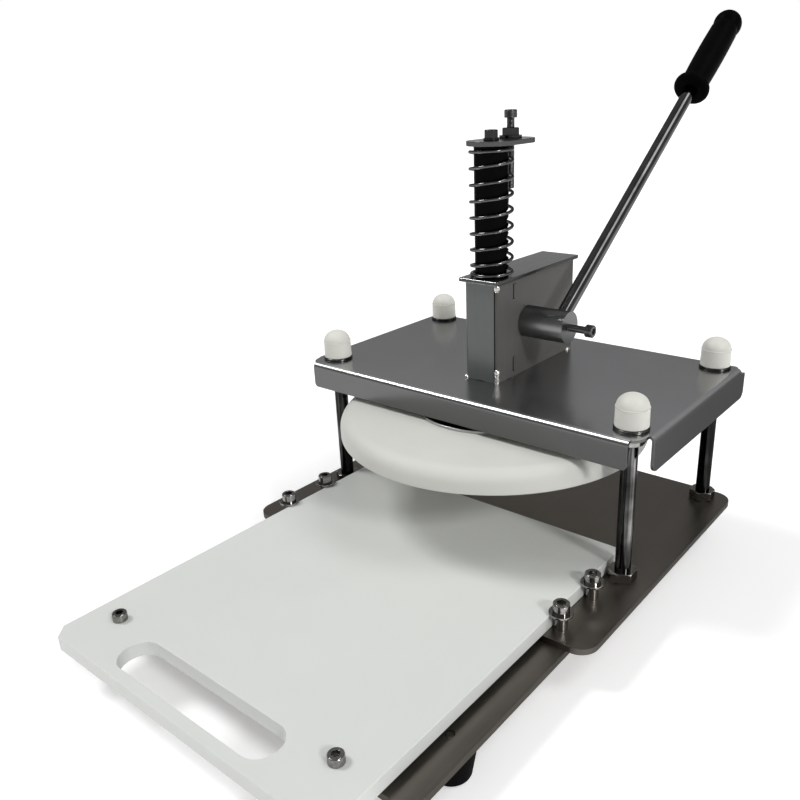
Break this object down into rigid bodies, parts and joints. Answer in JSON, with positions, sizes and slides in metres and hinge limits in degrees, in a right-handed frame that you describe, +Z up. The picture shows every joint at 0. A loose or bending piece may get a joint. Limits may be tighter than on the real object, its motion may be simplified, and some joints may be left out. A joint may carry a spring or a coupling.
{
  "type": "flatbread press",
  "caption": "Hand lever flatbread press: a rack and pinion pushes a round plastic disc down onto a sliding board, and a coil spring lifts it again.",
  "frame": {"origin": "on the floor, under the middle of the outline", "axes": "+X to the right of a person facing the press, +Y to the rear, +Z up"},
  "size_m": [0.2798, 0.5861, 0.3732],
  "materials": {
    "sheet_steel": "brushed stainless sheet",
    "plate_steel": "plain mill finish stainless plate",
    "bright_steel": "polished",
    "fastener_steel": "zinc plated",
    "spring_steel": "bright wire",
    "hub_steel": "turned steel",
    "black_steel": "blackened",
    "bush_bronze": "plain bronze",
    "disc_plastic": "turned plastic",
    "board_plastic": "smooth plastic sheet",
    "cap_plastic": "moulded",
    "grip_plastic": "moulded soft plastic",
    "foot_rubber": "moulded rubber"
  },
  "bodies": {
    "frame": {"rubber_feet": "foot_rubber", "foot_screws": "fastener_steel", "support_plate": "plate_steel", "base_plate": "plate_steel", "corner_posts": "bright_steel", "base_nuts": "fastener_steel", "under_base_nuts": "fastener_steel", "under_top_nuts": "fastener_steel", "cap_washers": "fastener_steel", "post_top_nuts": "fastener_steel", "nut_caps": "cap_plastic", "top_plate": "sheet_steel", "gear_housing": "sheet_steel", "housing_side_plate": "sheet_steel", "housing_lid": "sheet_steel", "rack_keepers": "plate_steel", "ram_guide_bush": "bush_bronze", "shaft_bushes": "bush_bronze", "guide_sleeves": "bright_steel", "guide_washers": "fastener_steel", "guide_screws": "fastener_steel", "guide_nuts": "fastener_steel", "return_spring": "spring_steel"},
    "lever": {"pinion_shaft": "hub_steel", "pinion_gear": "hub_steel", "pinion_key": "hub_steel", "shaft_clip": "hub_steel", "lever_rod": "bright_steel", "lever_grip": "grip_plastic", "clamp_screw": "fastener_steel"},
    "ram": {"rack_bar": "black_steel", "bar_bolt": "fastener_steel", "press_flange": "black_steel", "flange_screws": "fastener_steel", "press_disc": "disc_plastic", "cap_plate": "plate_steel", "cap_washer": "fastener_steel", "cap_screw": "fastener_steel", "stop_nut": "fastener_steel"},
    "depth_stop": {"stop_screw": "fastener_steel"},
    "board": {"slide_board": "board_plastic", "board_stop_screws": "fastener_steel"}
  },
  "joints": [
    {"name": "lever_turn", "type": "hinge", "parent": "frame", "child": "lever", "pos_m": [0, 0.01422, 0.1675], "axis": [1, 0, 0], "range_deg": [0, 154.7]},
    {"name": "ram_slide", "type": "slide", "parent": "frame", "child": "ram", "axis": [0, 0, -1], "range_m": [0, 0.052], "stiffness_N_per_m": 1390, "springref_m": -0.016, "deforming": ["return_spring"]},
    {"name": "depth_stop_slide", "type": "slide", "parent": "ram", "child": "depth_stop", "axis": [0, 0, 1], "range_m": [-0.002, 0.012]},
    {"name": "board_slide", "type": "slide", "parent": "frame", "child": "board", "axis": [0, 1, 0], "range_m": [-0.03, 0.14]}
  ],
  "couplings": [
    {"joint": "ram_slide", "follows": "lever_turn", "m_per_rad": 0.01925}
  ]
}
